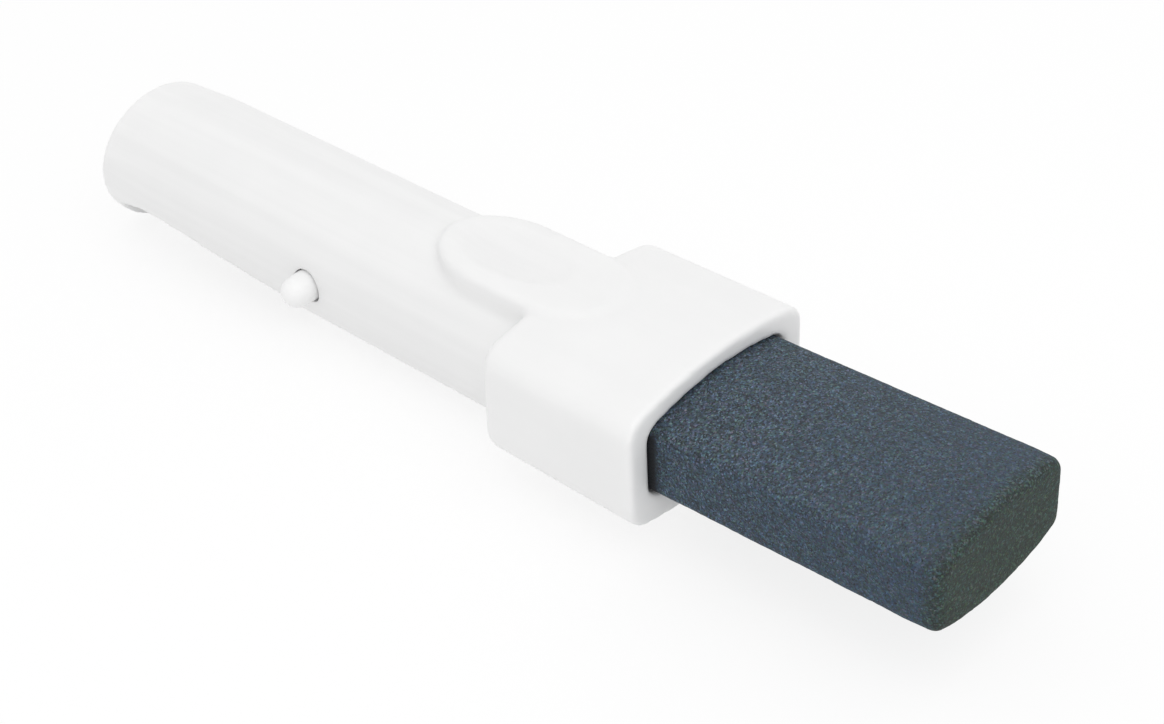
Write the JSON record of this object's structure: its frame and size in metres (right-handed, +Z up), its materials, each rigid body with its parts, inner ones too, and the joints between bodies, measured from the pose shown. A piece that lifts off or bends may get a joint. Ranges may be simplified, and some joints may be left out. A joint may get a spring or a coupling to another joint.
{
  "type": "pumice stone with pole handle",
  "caption": "Abrasive scouring block glued into the flat socket of a hollow white pole handle, with a thumb rest and a spring clip that holds it on a telescopic pole.",
  "frame": {"origin": "on the level of the shank's underside, at the middle of the overall length and width", "axes": "+X along the tool toward the abrasive block, +Z up through the thumb rest, +Y to the left when the block points forward"},
  "size_m": [0.193, 0.0416, 0.0295],
  "materials": {
    "white_gloss_plastic": "smooth injection moulded, semi gloss",
    "grey_abrasive": "bonded mineral grit, fine open grain, dull",
    "set_adhesive": "set adhesive, satin",
    "white_acetal": "smooth moulded acetal"
  },
  "bodies": {
    "handle": {"handle": "white_gloss_plastic", "abrasive_block": "grey_abrasive", "adhesive_bed": "set_adhesive", "spring_clip_bend": "white_acetal"},
    "clip_leg_left": {"spring_clip_leg_left": "white_acetal"},
    "clip_leg_right": {"spring_clip_leg_right": "white_acetal"}
  },
  "joints": [
    {"name": "left_button_press", "type": "hinge", "parent": "handle", "child": "clip_leg_left", "pos_m": [-0.08005, 0.0093, 0.01425], "axis": [0, 0, 1], "range_deg": [-6.15, 0], "stiffness_Nm_per_rad": 1, "springref_deg": 8.02},
    {"name": "right_button_press", "type": "hinge", "parent": "handle", "child": "clip_leg_right", "pos_m": [-0.08005, -0.0093, 0.01425], "axis": [0, 0, 1], "range_deg": [0, 6.15], "stiffness_Nm_per_rad": 1, "springref_deg": -8.02}
  ]
}
